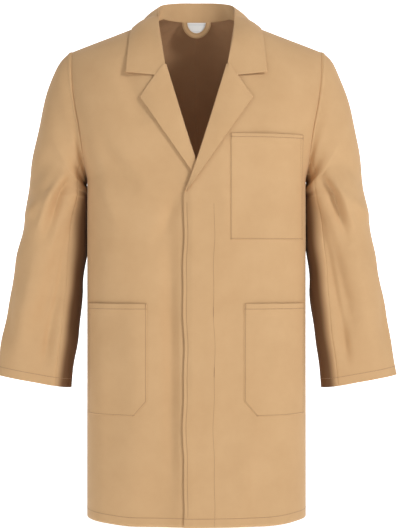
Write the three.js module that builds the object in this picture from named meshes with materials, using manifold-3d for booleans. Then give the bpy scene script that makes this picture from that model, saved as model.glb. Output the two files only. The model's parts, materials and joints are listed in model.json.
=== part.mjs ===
// Men's work coat with a notched collar, a hidden press stud closure, two-piece sleeves and patch pockets.
// Millimetres, +Z up, the front faces -Y and +X is the wearer's left. Heights are counted from the hem.
// The origin is where a hanger carries the coat: between the shoulders, at the height of the neck points.
import * as THREE from 'three';
import { mergeVertices } from 'three/addons/utils/BufferGeometryUtils.js';
import Module from 'manifold-3d';

// Cloth and sewing
const cloth = 1.2;
const gap = 0.3;
const seamGap = 0.5;
const layClear = 0.8;

// Body
const bodyHalfWidth = 216;
const bodyHalfDepth = 140;
const bodyRoundness = 3.2;
const armpitHeight = 670;
const chestHeight = 700;
const ridgeHeight = 950;
const neckPointHeight = 987;
const neckHalfWidth = 78;
const shoulderHalfWidth = 247;
const shoulderPointHeight = 923;
const shoulderSpread = 45;
const shoulderRoundness = 2.2;
const backNeckHeight = 992;
const ridgeRounding = 30;
const armholeShare = 0.57;
const armholeRise = 0.45;

// Front edge, lapel and closure
const frontOverlap = 24;
const breakHeight = 636;
const gorgeHalfWidth = 60;
const gorgeHeight = 886;
const gorgeGap = 2;
const lapelTip = { x: 108, z: 822 };
const notch = { x: 77, z: 864 };
const collarPoint = { x: 136, z: 871 };
const flyWidth = 58;
const fallOff = 70;
const swingCutHeight = 545;
const hingeDepth = 60;
const hingeGap = 1.2;

// Collar
const collarRise = 49;
const collarRollX = 73;
const collarFall = 40;
const collarWidthAtShoulder = 124;
const collarClear = 1.4;
const collarForward = 102;
const interlining = 0.6;

// Sleeves
const bicepOut = 64;
const cuffOut = 114;
const bicep = { x: bodyHalfWidth + bicepOut, y: 0, z: 640, across: 55, deep: 76, lean: 8 };
const cuff = { x: bodyHalfWidth + cuffOut, y: -15, z: 271, across: 69, deep: 32, lean: 10 };
const headShare = 0.42;
const frontSeamTurn = 134;
const backSeamTurn = 250;
const sleeveSeamTurn = 0.5;

// Pockets
const pocketHollow = 8;
const pocketWall = 2;
const chestPocket = { inner: 64.5, outer: 204, bottom: 549, top: 751, cutAcross: 0, cutUp: 0 };
const hipPocket = { inner: 92, outer: 207, bottom: 211, top: 426, cutAcross: 25, cutUp: 29 };

// Press studs
const studCount = 4;
const studSpacing = 95;
const topStudHeight = 610;
const studPlate = 0.8;
const studRadius = 6;
const barrelRadius = 1.5;
const nubRadius = 2;
const nubHeight = 1;
const socketHeight = 2;
const studPlay = 1.3;
const holePlay = 0.6;
const studSides = 10;

// Hanger loop and label
const loopHalfWidth = 29;
const loopDrop = 32;
const loopBand = 10;
const labelHalfWidth = 19;
const labelDrop = 22;
const labelCloth = 0.5;

// Layers outward from the inner face of the right front, at the closure
const studBase = cloth + gap;
const socketBase = studBase + studPlate + gap;
const flyBase = socketBase + socketHeight + gap;
const capBase = flyBase + cloth + gap;
const leftLift = capBase + studPlate + gap;
const flyCentre = flyWidth / 2 - frontOverlap;
const facingDepth = -(cloth + gap);

// Grids of the larger panels
const frontColumns = 11;
const frontRows = 14;
const backColumns = 12;
const neckColumns = 5;
const backRows = 13;

const wasm = await Module();
wasm.setup();

const coat = new THREE.Group();
coat.position.z = -neckPointHeight;

const colours = {
  front: 0xcba47a,
  back: 0xc69f74,
  sleeve: 0xc9a277,
  pocket: 0xd0aa7f,
  collar: 0xcda67c,
  facing: 0xbf9669,
  interlining: 0xe6e0d4,
  label: 0xf2f1ec,
  metal: 0xb9b6ae,
};

const lerp = THREE.MathUtils.lerp;
const smooth = (value, low, high) => THREE.MathUtils.smoothstep(value, low, high);

// The body's half width above the armpit grows towards the shoulder, so the armhole edge leans outwards.
function halfWidthAt(level) {
  const climb = THREE.MathUtils.clamp((level - armpitHeight) / (ridgeHeight - armpitHeight), 0, 1);
  return bodyHalfWidth + shoulderSpread * Math.sin((Math.PI / 2) * climb);
}

// The body's half depth closes to nothing along the shoulder ridge, as a rounded shoulder.
function halfDepthAt(level) {
  const climb = THREE.MathUtils.clamp((level - chestHeight) / (ridgeHeight - chestHeight), 0, 1);
  return bodyHalfDepth * Math.pow(1 - Math.pow(climb, shoulderRoundness), 1 / shoulderRoundness);
}

// A level becomes a height: level above the armpit slopes with the shoulder.
function heightAt(x, level) {
  const slope = (neckPointHeight - shoulderPointHeight) / (shoulderHalfWidth - neckHalfWidth);
  const away = Math.hypot(x, ridgeRounding) - Math.hypot(neckHalfWidth, ridgeRounding);
  const ridge = neckPointHeight - slope * away;
  return level + (ridge - ridgeHeight) * smooth(level, armpitHeight, ridgeHeight);
}

// The level whose height is z at x, by repeated correction, no higher than the ridge.
function levelAt(x, z) {
  let level = z;
  for (let step = 0; step < 40; step += 1) {
    level += 0.6 * (z - heightAt(x, level));
  }
  return Math.min(level, ridgeHeight);
}

// A point of the body's inner face. x is the distance from the middle and side is -1 in front, 1 behind.
function bodyPoint(x, level, side) {
  const share = Math.min(1, Math.abs(x) / halfWidthAt(level));
  const depth = halfDepthAt(level) * Math.pow(1 - Math.pow(share, bodyRoundness), 1 / bodyRoundness);
  return new THREE.Vector3(x, side * (depth + seamGap / 2), heightAt(x, level));
}

// x of the armhole edge, or of the side seam below the armpit.
function armholeX(level) {
  const climb = THREE.MathUtils.clamp((level - armpitHeight) / (ridgeHeight - armpitHeight), 0, 1);
  const turn = Math.min(1, climb / armholeRise);
  const share = armholeShare * Math.sqrt(1 - (1 - turn) ** 2);
  return halfWidthAt(level) * Math.pow(1 - Math.pow(share, bodyRoundness), 1 / bodyRoundness);
}

// x at a share of the way along the cloth, so that columns are evenly spaced round the body's curve.
function evenX(level, fromX, toX, share) {
  const steps = 24;
  const half = halfWidthAt(level);
  const fromTurn = Math.asin(THREE.MathUtils.clamp(fromX / half, -1, 1));
  const toTurn = Math.asin(THREE.MathUtils.clamp(toX / half, -1, 1));
  const line = Array.from({ length: steps + 1 }, (unused, index) => (
    bodyPoint(half * Math.sin(lerp(fromTurn, toTurn, index / steps)), level, -1)
  ));
  const far = [0];
  line.slice(1).forEach((point, index) => {
    far.push(far[index] + Math.hypot(point.x - line[index].x, point.y - line[index].y));
  });
  const wanted = share * far[steps];
  const next = Math.max(1, far.findIndex((length) => length >= wanted));
  const part = (wanted - far[next - 1]) / Math.max(1e-9, far[next] - far[next - 1]);
  return lerp(line[next - 1].x, line[next].x, part);
}

// x of the front edge: straight below the break, then along the roll line to the neck.
function frontEdgeX(level) {
  if (level <= breakHeight) {
    return -frontOverlap;
  }
  const gorgeLevel = levelAt(gorgeHalfWidth, gorgeHeight);
  if (level <= gorgeLevel) {
    return lerp(-frontOverlap, gorgeHalfWidth, (level - breakHeight) / (gorgeLevel - breakHeight));
  }
  return lerp(gorgeHalfWidth, neckHalfWidth, (level - gorgeLevel) / (ridgeHeight - gorgeLevel));
}

// Outward normal of any surface that is a function of two shares, by differences.
function normalAt(surface, u, v) {
  const step = 0.004;
  const along = surface(Math.min(1, u + step), v).sub(surface(Math.max(0, u - step), v));
  const up = surface(u, Math.min(1, v + step)).sub(surface(u, Math.max(0, v - step)));
  return along.cross(up).normalize();
}

// A sheet of cloth: the surface carried out to two offsets, with the same grid on both faces, and a rim.
function sheet(surface, columns, rows, from, to) {
  const grid = new THREE.PlaneGeometry(1, 1, columns, rows);
  const flat = grid.getAttribute('position');
  const faces = Array.from(grid.getIndex().array);
  const places = [];
  [from, to].forEach((offset) => {
    for (let index = 0; index < flat.count; index += 1) {
      const u = flat.getX(index) + 0.5;
      const v = flat.getY(index) + 0.5;
      places.push(...surface(u, v).addScaledVector(normalAt(surface, u, v), offset).toArray());
    }
  });
  const order = [];
  for (let start = 0; start < faces.length; start += 3) {
    const [a, b, c] = faces.slice(start, start + 3);
    order.push(a, c, b, a + flat.count, b + flat.count, c + flat.count);
  }
  const across = columns + 1;
  const rim = [];
  for (let column = 0; column < columns; column += 1) rim.push(column);
  for (let row = 0; row < rows; row += 1) rim.push(row * across + columns);
  for (let column = columns; column > 0; column -= 1) rim.push(rows * across + column);
  for (let row = rows; row > 0; row -= 1) rim.push(row * across);
  rim.forEach((here, index) => {
    const next = rim[(index + 1) % rim.length];
    order.push(next, here, here + flat.count, next, here + flat.count, next + flat.count);
  });
  const geometry = new THREE.BufferGeometry();
  geometry.setAttribute('position', new THREE.Float32BufferAttribute(places, 3));
  geometry.setIndex(order);
  return outwards(geometry);
}

// Turns a closed geometry's triangles round if its volume comes out negative.
function outwards(geometry) {
  const places = geometry.getAttribute('position');
  const order = geometry.getIndex().array;
  const corner = [0, 1, 2].map(() => new THREE.Vector3());
  let volume = 0;
  for (let start = 0; start < order.length; start += 3) {
    corner.forEach((point, index) => point.fromBufferAttribute(places, order[start + index]));
    volume += corner[0].dot(corner[1].cross(corner[2]));
  }
  if (volume < 0) {
    for (let start = 0; start < order.length; start += 3) {
      [order[start], order[start + 1]] = [order[start + 1], order[start]];
    }
  }
  return geometry;
}

// three.js geometry to a solid that can be joined and cut, and back.
function solidOf(geometry) {
  const bare = geometry.clone();
  bare.deleteAttribute('normal');
  bare.deleteAttribute('uv');
  const merged = mergeVertices(bare, 1e-4);
  const vertProperties = new Float32Array(merged.getAttribute('position').array);
  const triVerts = new Uint32Array(merged.getIndex().array);
  return new wasm.Manifold(new wasm.Mesh({ numProp: 3, vertProperties, triVerts }));
}

function geometryOf(solid) {
  const mesh = solid.getMesh();
  const geometry = new THREE.BufferGeometry();
  geometry.setAttribute('position', new THREE.BufferAttribute(new Float32Array(mesh.vertProperties), 3));
  geometry.setIndex(new THREE.BufferAttribute(new Uint32Array(mesh.triVerts), 1));
  return geometry;
}

function boxSolid(low, high) {
  const size = high.clone().sub(low);
  const box = new THREE.BoxGeometry(size.x, size.y, size.z);
  box.translate((low.x + high.x) / 2, (low.y + high.y) / 2, (low.z + high.z) / 2);
  return solidOf(box);
}

function add(name, geometry, colour, roughness = 0.9, metalness = 0) {
  const material = new THREE.MeshStandardMaterial({ color: colour, roughness, metalness });
  const mesh = new THREE.Mesh(geometry, material);
  mesh.name = name;
  coat.add(mesh);
  return mesh;
}

// The wearer's left half is shaped, and hand -1 mirrors it to the wearer's right.
function handed(geometry, hand) {
  geometry.scale(hand, 1, 1);
  return outwards(geometry);
}

// Rows of a body panel: even up to the chest, then closer together as the shoulder rounds over.
function panelLevel(v) {
  const chestShare = 0.5;
  if (v <= chestShare) {
    return (v / chestShare) * chestHeight;
  }
  return lerp(chestHeight, ridgeHeight, Math.sin((Math.PI / 2) * ((v - chestShare) / (1 - chestShare))));
}

// The left front stands off the right front over the closure, and comes back to the body beyond it.
function liftAt(x, level, hand) {
  const reach = flyWidth - frontOverlap + studRadius;
  const crossing = breakHeight + 1.5 * fallOff;
  const held = (1 - smooth(x, reach, reach + fallOff)) * (1 - smooth(level, crossing, crossing + fallOff));
  return hand > 0 ? leftLift * held : 0;
}

// A point over the front at x and a level, with the closure's lift.
function frontPoint(x, level, hand) {
  const point = bodyPoint(x, level, -1);
  point.y -= liftAt(x, level, hand);
  return point;
}

function frontSurface(hand) {
  return (u, v) => {
    const level = panelLevel(v);
    return frontPoint(evenX(level, frontEdgeX(level), armholeX(level), u), level, hand);
  };
}

// The cloth of one front that swings: below the swing cut and forward of the hinge line.
function skirtBox(hand, hingeShift, cutShift) {
  const farOut = 500;
  const inner = -100;
  const low = new THREE.Vector3(Math.min(hand * inner, hand * farOut), -farOut, -farOut);
  const high = new THREE.Vector3(
    Math.max(hand * inner, hand * farOut),
    -hingeDepth + hingeShift,
    swingCutHeight + cutShift,
  );
  return boxSolid(low, high);
}

const studHeights = Array.from({ length: studCount }, (unused, index) => topStudHeight - index * studSpacing);

// The holes that the studs' barrels pass through.
function pierced(solid) {
  const reach = 40;
  let result = solid;
  studHeights.forEach((height) => {
    const drillRadius = barrelRadius + holePlay;
    const drill = new THREE.CylinderGeometry(drillRadius, drillRadius, reach, studSides);
    drill.translate(flyCentre, -(bodyHalfDepth + seamGap / 2), height);
    result = result.subtract(solidOf(drill));
  });
  return result;
}

function fronts(hand, side) {
  const panel = solidOf(handed(sheet(frontSurface(hand), frontColumns, frontRows, 0, cloth), hand));
  const whole = hand > 0 ? panel : pierced(panel);
  const held = whole.subtract(skirtBox(hand, hingeGap / 2, seamGap / 2));
  const swinging = whole.intersect(skirtBox(hand, -hingeGap / 2, -seamGap / 2));
  const cutGap = seamGap / 2;
  add(`${side}_front`, geometryOf(held.trimByPlane([0, 0, 1], swingCutHeight + cutGap)), colours.front);
  add(`${side}_front_side`, geometryOf(held.trimByPlane([0, 0, -1], cutGap - swingCutHeight)), colours.front);
  add(`${side}_front_skirt`, geometryOf(swinging), colours.front);
}

// A strip along the inside of a front edge, in two lengths that meet at the swing cut.
function edgeStrip(name, hand, offset, upTo) {
  const inset = 3;
  const lengths = [
    [`${name}_skirt`, 0, swingCutHeight - seamGap / 2, 4],
    [name, swingCutHeight + seamGap / 2, upTo, 2],
  ];
  lengths.forEach(([label, bottom, top, rows]) => {
    const surface = (u, v) => {
      const x = lerp(-frontOverlap + inset, flyWidth - frontOverlap, u);
      return bodyPoint(x, lerp(bottom, top, v), -1);
    };
    const strip = handed(sheet(surface, 2, rows, offset, offset + cloth), hand);
    add(label, geometryOf(pierced(solidOf(strip))), colours.facing);
  });
}

const lapelRows = 8;
const lapelTipRow = 6;

// The lapel lies over the front, from the roll line out to its edge.
function lapelSurface(hand) {
  const inset = 2.5;
  const tipShare = lapelTipRow / lapelRows;
  const heightOf = (v) => (v < tipShare
    ? lerp(breakHeight + 4, lapelTip.z, v / tipShare)
    : lerp(lapelTip.z, gorgeHeight - seamGap, (v - tipShare) / (1 - tipShare)));
  const outerX = (v) => (v < tipShare
    ? lerp(-frontOverlap + inset + 6, lapelTip.x, v / tipShare)
    : lerp(lapelTip.x, gorgeHalfWidth + inset, (v - tipShare) / (1 - tipShare)));
  return (u, v) => {
    const z = heightOf(v);
    const inner = frontEdgeX(levelAt(0.5 * gorgeHalfWidth, z)) + 1;
    const x = lerp(Math.min(inner, outerX(v) - 2), outerX(v), u);
    return frontPoint(x, levelAt(x, z), hand);
  };
}

function lapels(hand, side) {
  const base = cloth + layClear;
  const turnback = sheet(lapelSurface(hand), 3, lapelRows, base, base + cloth);
  add(`${side}_lapel_turnback`, handed(turnback, hand), colours.facing);
  const top = base + cloth + gap;
  const facing = sheet(lapelSurface(hand), 3, lapelRows, top, top + cloth);
  add(`${side}_lapel_facing`, handed(facing, hand), colours.collar);
}

// The back's top level: the shoulder ridge, and the neck seam between the neck points.
function backTop(x) {
  return Math.abs(x) < neckHalfWidth ? levelAt(x, backNeckHeight) : ridgeHeight;
}

function backSurface(u, v) {
  const neckShare = neckColumns / backColumns;
  const level = panelLevel(v);
  const x = u < neckShare
    ? (neckHalfWidth * u) / neckShare
    : evenX(level, neckHalfWidth, armholeX(level), (u - neckShare) / (1 - neckShare));
  const lowered = level - (ridgeHeight - backTop(x)) * smooth(level, armpitHeight, ridgeHeight);
  const point = bodyPoint(x, lowered, 1);
  point.x += seamGap / 2;
  return point;
}

function backs(hand, side) {
  add(`${side}_back`, handed(sheet(backSurface, backColumns, backRows, 0, cloth), hand), colours.back);
}

// The inner face of the back at the neck seam, where the loop and the label are sewn in.
function neckSeam(x) {
  return bodyPoint(x, backTop(x), 1);
}

// The edge of the neck that the collar stand is sewn on: 0 at the centre back, 0.8 where the roll begins.
function neckEdge(share) {
  const sideShare = 0.4;
  const seat = cloth + gap;
  if (share <= sideShare) {
    const x = neckHalfWidth * Math.sin((Math.PI / 2) * (share / sideShare));
    return neckSeam(x).add(new THREE.Vector3(0, 0, seat + gap));
  }
  const forward = (share - sideShare) / sideShare;
  const fallen = Math.sin((Math.PI / 2) * forward ** 1.3);
  const level = lerp(ridgeHeight, levelAt(gorgeHalfWidth, gorgeHeight + 40), fallen);
  return bodyPoint(frontEdgeX(level), level, -1).add(new THREE.Vector3(0, 0, seat + gap));
}

// The fold round the top of the collar, from the centre back to the gorge.
const gorgeLevel = levelAt(gorgeHalfWidth, gorgeHeight);
const collarFold = new THREE.CatmullRomCurve3([
  new THREE.Vector3(-44, 46, neckPointHeight + collarRise - 4),
  new THREE.Vector3(0, 64, neckPointHeight + collarRise),
  new THREE.Vector3(44, 46, neckPointHeight + collarRise - 4),
  new THREE.Vector3(collarRollX, 8, neckPointHeight + collarRise - 17),
  new THREE.Vector3(collarRollX + 2, collarForward - bodyHalfDepth, neckPointHeight + 2),
  bodyPoint(70, levelAt(70, gorgeHeight + 50), -1).add(new THREE.Vector3(0, -5, 4)),
  bodyPoint(gorgeHalfWidth, gorgeLevel, -1).add(new THREE.Vector3(0, -5, 2)),
]);

// The outer edge of the collar in x and in distance from the shoulder ridge, behind it when negative.
const collarEdge = new THREE.SplineCurve([
  new THREE.Vector2(-60, -collarFall + 18),
  new THREE.Vector2(0, -collarFall),
  new THREE.Vector2(60, -collarFall + 18),
  new THREE.Vector2(108, -3),
  new THREE.Vector2(collarWidthAtShoulder, 2),
  new THREE.Vector2(collarWidthAtShoulder + 7, 42),
  new THREE.Vector2(collarPoint.x, ridgeHeight - levelAt(collarPoint.x, collarPoint.z)),
]);

function collarEdgePoint(share, offset) {
  const count = collarEdge.points.length - 1;
  const flat = collarEdge.getPoint((1 + share * (count - 1)) / count);
  const side = flat.y < 0 ? 1 : -1;
  const level = ridgeHeight - Math.abs(flat.y);
  const near = bodyPoint(flat.x, level, side);
  const inside = new THREE.Vector3(0.7 * flat.x, 0, near.z - 60);
  return near.addScaledVector(near.clone().sub(inside).normalize(), offset);
}

function collarFoldPoint(share) {
  const count = collarFold.points.length - 1;
  return collarFold.getPoint((1 + share * (count - 1)) / count);
}

// The front end of the collar on the chest: down the gorge to the notch, then out to the collar point.
function collarEnd(share) {
  const notchShare = 0.24;
  const start = { x: gorgeHalfWidth + 2, z: gorgeHeight + 1 };
  const reach = share < notchShare
    ? [start, notch, share / notchShare]
    : [notch, collarPoint, (share - notchShare) / (1 - notchShare)];
  const x = lerp(reach[0].x, reach[1].x, reach[2]);
  const z = lerp(reach[0].z, reach[1].z, reach[2]) + gorgeGap;
  return { x, z };
}

// The collar's fall: straight from the fold to the outer edge with a soft bulge, shaped at its front ends.
function fallSurface() {
  const seat = 3 * cloth + collarClear;
  const bulge = 7;
  const lastPart = 0.72;
  const ruled = (share, across) => {
    const point = collarFoldPoint(share).lerp(collarEdgePoint(share, seat), across);
    const rise = bulge * Math.sin(Math.PI * across) * (1 - smooth(share, lastPart, 1));
    return point.add(new THREE.Vector3(0.5 * rise, share < 0.35 ? 0.4 * rise : -0.5 * rise, 0.6 * rise));
  };
  return (u, v) => {
    const share = Math.abs(2 * u - 1);
    const here = ruled(share, v);
    const end = collarEnd(v);
    const laid = bodyPoint(end.x, levelAt(end.x, end.z), -1);
    laid.y -= seat;
    const shift = laid.sub(ruled(1, v)).multiplyScalar(smooth(share, lastPart, 1));
    here.add(shift);
    here.x *= 2 * u < 1 ? -1 : 1;
    return here;
  };
}

function collars() {
  const fall = fallSurface();
  const columns = 22;
  add('under_collar', sheet(fall, columns, 4, 0, cloth), colours.facing);
  const lining = cloth + gap;
  add('collar_interlining', sheet(fall, columns, 4, lining, lining + interlining), colours.interlining, 0.8);
  const top = lining + interlining + gap;
  add('upper_collar', sheet(fall, columns, 4, top, top + cloth), colours.collar);
  const standEnd = 0.5;
  const standTop = 0.88;
  const stand = (u, v) => {
    const share = Math.abs(2 * u - 1) * standEnd;
    const point = neckEdge(share).lerp(collarFoldPoint(share), v * standTop);
    point.x *= 2 * u < 1 ? -1 : 1;
    return point;
  };
  add('collar_stand', sheet(stand, 18, 2, 0, cloth), colours.facing);
}

// The ring of the armhole at a turn: 0 at the shoulder, a quarter turn in front, half a turn at the armpit.
function armholeRing(turn) {
  const level = lerp(armpitHeight, ridgeHeight, (1 + Math.cos(turn)) / 2);
  const side = Math.sin(turn) >= 0 ? -1 : 1;
  const point = bodyPoint(armholeX(level), level, side);
  point.x += cloth + 2 * seamGap + gap;
  return point;
}

function sleeveRing(place, turn) {
  const lean = THREE.MathUtils.degToRad(place.lean);
  const across = place.across * Math.cos(turn);
  return new THREE.Vector3(
    place.x + across * Math.cos(lean),
    place.y - place.deep * Math.sin(turn),
    place.z + across * Math.sin(lean),
  );
}

// The sleeve: from the armhole it turns down to the bicep, then runs straight to the cuff.
function sleevePoint(turn, along) {
  const arm = new THREE.Vector3(cuff.x - bicep.x, cuff.y - bicep.y, cuff.z - bicep.z);
  if (along > headShare) {
    const share = (along - headShare) / (1 - headShare);
    const place = {};
    Object.keys(bicep).forEach((key) => {
      place[key] = lerp(bicep[key], cuff[key], share);
    });
    return sleeveRing(place, turn);
  }
  const share = along / headShare;
  const start = armholeRing(turn);
  const end = sleeveRing(bicep, turn);
  const reach = start.distanceTo(end);
  const top = (1 + Math.cos(turn)) / 2;
  const leave = new THREE.Vector3(lerp(0.5, 0.93, top), 0, lerp(-0.87, -0.37, top));
  const arrive = arm.normalize().multiplyScalar(0.9 * reach);
  const square = share * share;
  const cube = square * share;
  return start.multiplyScalar(2 * cube - 3 * square + 1)
    .addScaledVector(leave, 0.6 * reach * (cube - 2 * square + share))
    .addScaledVector(end, 3 * square - 2 * cube)
    .addScaledVector(arrive, cube - square);
}

function sleeveSurface(fromTurn, toTurn) {
  return (u, v) => {
    const turn = THREE.MathUtils.degToRad(lerp(fromTurn + sleeveSeamTurn, toTurn - sleeveSeamTurn, u));
    return sleevePoint(turn, 1 - v);
  };
}

function sleeves(hand, side) {
  const wholeTurn = 360;
  const upper = sheet(sleeveSurface(backSeamTurn - wholeTurn, frontSeamTurn), 11, 11, 0, -cloth);
  add(`${side}_upper_sleeve`, handed(upper, hand), colours.sleeve);
  const under = sheet(sleeveSurface(frontSeamTurn, backSeamTurn), 5, 11, 0, -cloth);
  add(`${side}_under_sleeve`, handed(under, hand), colours.sleeve);
}

// A patch pocket: a shallow tray against the front, open at the top, with a lower inner corner cut off.
function pocketRegion(pocket, hand, inset, rise) {
  const bottom = pocket.bottom + inset;
  const top = pocket.top + rise;
  const cutShare = 0.2;
  const heightOf = (v) => (pocket.cutUp > 0 && v < cutShare
    ? lerp(bottom, pocket.bottom + pocket.cutUp, v / cutShare)
    : lerp(pocket.cutUp > 0 ? pocket.bottom + pocket.cutUp : bottom, top,
      pocket.cutUp > 0 ? (v - cutShare) / (1 - cutShare) : v));
  return (u, v) => {
    const z = heightOf(v);
    const cut = pocket.cutUp > 0
      ? pocket.cutAcross * Math.max(0, 1 - (z - pocket.bottom) / pocket.cutUp)
      : 0;
    const x = evenX(z, pocket.inner + cut + inset, pocket.outer - inset, u);
    return frontPoint(x, levelAt(x, z), hand);
  };
}

function pocket(name, size, hand) {
  const base = cloth + gap;
  const above = 5;
  const outer = sheet(pocketRegion(size, hand, 0, 0), 6, 5, base, base + pocketHollow + cloth);
  const inner = sheet(pocketRegion(size, hand, pocketWall, above), 6, 5, -base, base + pocketHollow);
  const behind = sheet(frontSurface(hand), frontColumns, frontRows, -base, base);
  const pieces = solidOf(outer).subtract(solidOf(inner)).subtract(solidOf(behind)).decompose();
  const tray = pieces.reduce((most, piece) => (piece.volume() > most.volume() ? piece : most));
  add(name, handed(geometryOf(tray), hand), colours.pocket);
}

function pockets() {
  pocket('chest_pocket', chestPocket, 1);
  pocket('left_hip_pocket', hipPocket, 1);
  pocket('right_hip_pocket', hipPocket, -1);
}

// A turned stud part from its profile of radius and offset, standing on the closure's own axis.
function turned(name, profile, height) {
  const geometry = new THREE.LatheGeometry(profile.map(([r, y]) => new THREE.Vector2(r, y)), studSides);
  geometry.deleteAttribute('normal');
  geometry.deleteAttribute('uv');
  const mesh = add(name, outwards(mergeVertices(geometry, 1e-4)), colours.metal, 0.35, 1);
  mesh.rotation.x = Math.PI;
  mesh.position.set(flyCentre, -(bodyHalfDepth + seamGap / 2), height);
}

// Offsets run outwards from the inner face of the right front, along -Y.
function pressStud(height, number) {
  const postTop = facingDepth - gap;
  const post = [[0, postTop - studPlate], [studRadius, postTop - studPlate], [studRadius, postTop],
    [barrelRadius, postTop], [barrelRadius, cloth], [0, cloth]];
  const stud = [[0, studBase], [studRadius, studBase], [studRadius, studBase + studPlate],
    [nubRadius, studBase + studPlate], [nubRadius, studBase + studPlate + nubHeight],
    [0, studBase + studPlate + nubHeight]];
  const bore = socketBase + nubHeight + gap;
  const socket = [[0, bore], [nubRadius + studPlay, bore], [nubRadius + studPlay, socketBase],
    [studRadius, socketBase], [studRadius, socketBase + socketHeight], [0, socketBase + socketHeight]];
  const cap = [[0, flyBase], [barrelRadius, flyBase], [barrelRadius, capBase],
    [studRadius, capBase], [studRadius - 1, capBase + studPlate], [0, capBase + studPlate]];
  turned(`stud_post_${number}`, post, height);
  turned(`stud_ball_${number}`, stud, height);
  turned(`stud_socket_${number}`, socket, height);
  turned(`stud_cap_${number}`, cap, height);
}

// The hanger loop: a flat D-shaped band that hangs inside the back neck.
function hangerLoop() {
  const inner = { x: loopHalfWidth - loopBand, z: loopDrop - loopBand };
  const outline = new THREE.Shape();
  outline.moveTo(loopHalfWidth, 0);
  outline.absellipse(0, 0, loopHalfWidth, loopDrop, 0, Math.PI, true);
  outline.lineTo(-inner.x, 0);
  outline.absellipse(0, 0, inner.x, inner.z, Math.PI, 0, false);
  outline.closePath();
  const band = new THREE.ExtrudeGeometry(outline, { depth: cloth, bevelEnabled: false, curveSegments: 12 });
  const mesh = add('hanger_loop', band, colours.collar);
  const seam = neckSeam(loopHalfWidth);
  mesh.rotation.x = Math.PI / 2;
  mesh.position.set(0, seam.y - 2 * seamGap, seam.z);
}

function neckLabel() {
  const plate = new THREE.BoxGeometry(2 * labelHalfWidth, labelCloth, labelDrop);
  const mesh = add('neck_label', plate, colours.label, 0.7);
  const seam = neckSeam(labelHalfWidth);
  mesh.position.set(0, seam.y - 2 * seamGap - labelCloth / 2, seam.z - labelDrop / 2);
}

[[1, 'left'], [-1, 'right']].forEach(([hand, side]) => {
  fronts(hand, side);
  backs(hand, side);
  lapels(hand, side);
  sleeves(hand, side);
});
edgeStrip('fly_strip', 1, flyBase, breakHeight - 4);
edgeStrip('right_facing', -1, facingDepth, breakHeight - 4);
studHeights.forEach((height, index) => pressStud(height, index + 1));
pockets();
collars();
hangerLoop();
neckLabel();

export default coat;
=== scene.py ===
# Work coat in tan twill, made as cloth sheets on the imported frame.
import json
import math
import bpy
import numpy as np
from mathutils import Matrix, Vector


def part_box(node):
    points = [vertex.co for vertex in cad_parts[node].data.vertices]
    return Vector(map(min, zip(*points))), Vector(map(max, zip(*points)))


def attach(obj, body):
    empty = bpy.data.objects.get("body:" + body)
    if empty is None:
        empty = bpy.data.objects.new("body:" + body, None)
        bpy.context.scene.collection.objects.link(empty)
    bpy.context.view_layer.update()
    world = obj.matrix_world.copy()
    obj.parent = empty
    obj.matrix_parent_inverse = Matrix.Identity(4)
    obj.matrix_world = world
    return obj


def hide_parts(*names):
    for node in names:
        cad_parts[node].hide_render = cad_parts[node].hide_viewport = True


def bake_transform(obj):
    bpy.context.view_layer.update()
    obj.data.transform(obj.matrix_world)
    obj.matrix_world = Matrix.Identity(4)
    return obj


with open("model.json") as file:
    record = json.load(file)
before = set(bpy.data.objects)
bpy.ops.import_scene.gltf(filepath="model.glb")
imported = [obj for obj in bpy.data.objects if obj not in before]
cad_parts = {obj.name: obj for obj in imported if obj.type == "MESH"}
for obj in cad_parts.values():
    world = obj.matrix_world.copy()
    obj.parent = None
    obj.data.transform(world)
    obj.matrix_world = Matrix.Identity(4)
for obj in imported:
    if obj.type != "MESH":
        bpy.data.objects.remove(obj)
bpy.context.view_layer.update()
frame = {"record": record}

mm = 0.001


def boxOf(node):
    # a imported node's low and high corners in millimetres
    low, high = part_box(node)
    return np.array(low) / mm, np.array(high) / mm


hemZ = boxOf("left_back")[0][2]
jointOf = {joint["name"]: joint for joint in frame["record"]["behaviour"]["joints"]}
loopPivot = np.array(jointOf["hanger_loop_flip"]["pos_m"]) / mm

body = {  # millimetres, heights counted from the hem
    "halfWidth": 216, "halfDepth": boxOf("left_back")[1][1] - 0.3, "roundness": 3.2,
    "armpit": 670, "chest": 700, "ridge": 950, "neckPoint": -hemZ, "neckHalf": 78,
    "shoulderHalf": boxOf("left_back")[1][0], "shoulderPoint": 923, "spread": 45, "shoulderRound": 2.2,
    "backNeck": 992, "ridgeSoft": 30, "armShare": 0.57, "armRise": 0.45,
    "flatEase": (760, 900),  # levels between which the section is spread by width and not by turn
}
front = {  # the front edge, lapel and closure
    "overlap": 24, "break": 636, "gorgeX": 60, "gorgeZ": 886, "flyWidth": 58, "fallOff": 70,
    "lift": 7.5, "edgeLift": 4.2, "hingeX": 211.4, "bendTop": 600, "bendEnd": 360, "sideTop": 662,
    "limitEase": (545, 665),  # levels between which the edge leaves the hinge line for the armhole
    "wanderEase": (540, 630),  # levels between which the left edge's wander dies out
    "edgeStitch": 6.5, "shoulderSeam": 9, "tackLength": 0.015,
    "stitchedTo": 0.485,  # shares of the front's rows: the top of the fly's stitching, and its bar tacks
    "tacks": (0.225, 0.315),
}
cloth = 0.7  # one layer of twill as it is seen
farFromSeam = 99.0  # a distance at which no seam's groove shows
rimBulge = 0.45  # how far a cut edge rounds out, as a share of its thickness
sheetRows = []  # name, width, length and area of each sheet, printed at the end
sideNames = {1: "left", -1: "right"}

print("stage: shapes of the body")


def smooth(x, low, high):
    # 0 below low, 1 above high, and a cubic ease between
    t = np.clip((x - low) / (high - low), 0, 1)
    return t * t * (3 - 2 * t)


def mix(a, b, t):
    # a at share 0, b at share 1, and a straight line between
    return a + (b - a) * t


def hemRise(x, z):
    # the hem is cut a little higher towards the side seams
    return 6 * smooth(np.abs(x), 120, 214) * (1 - smooth(z, 0, 200))


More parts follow.
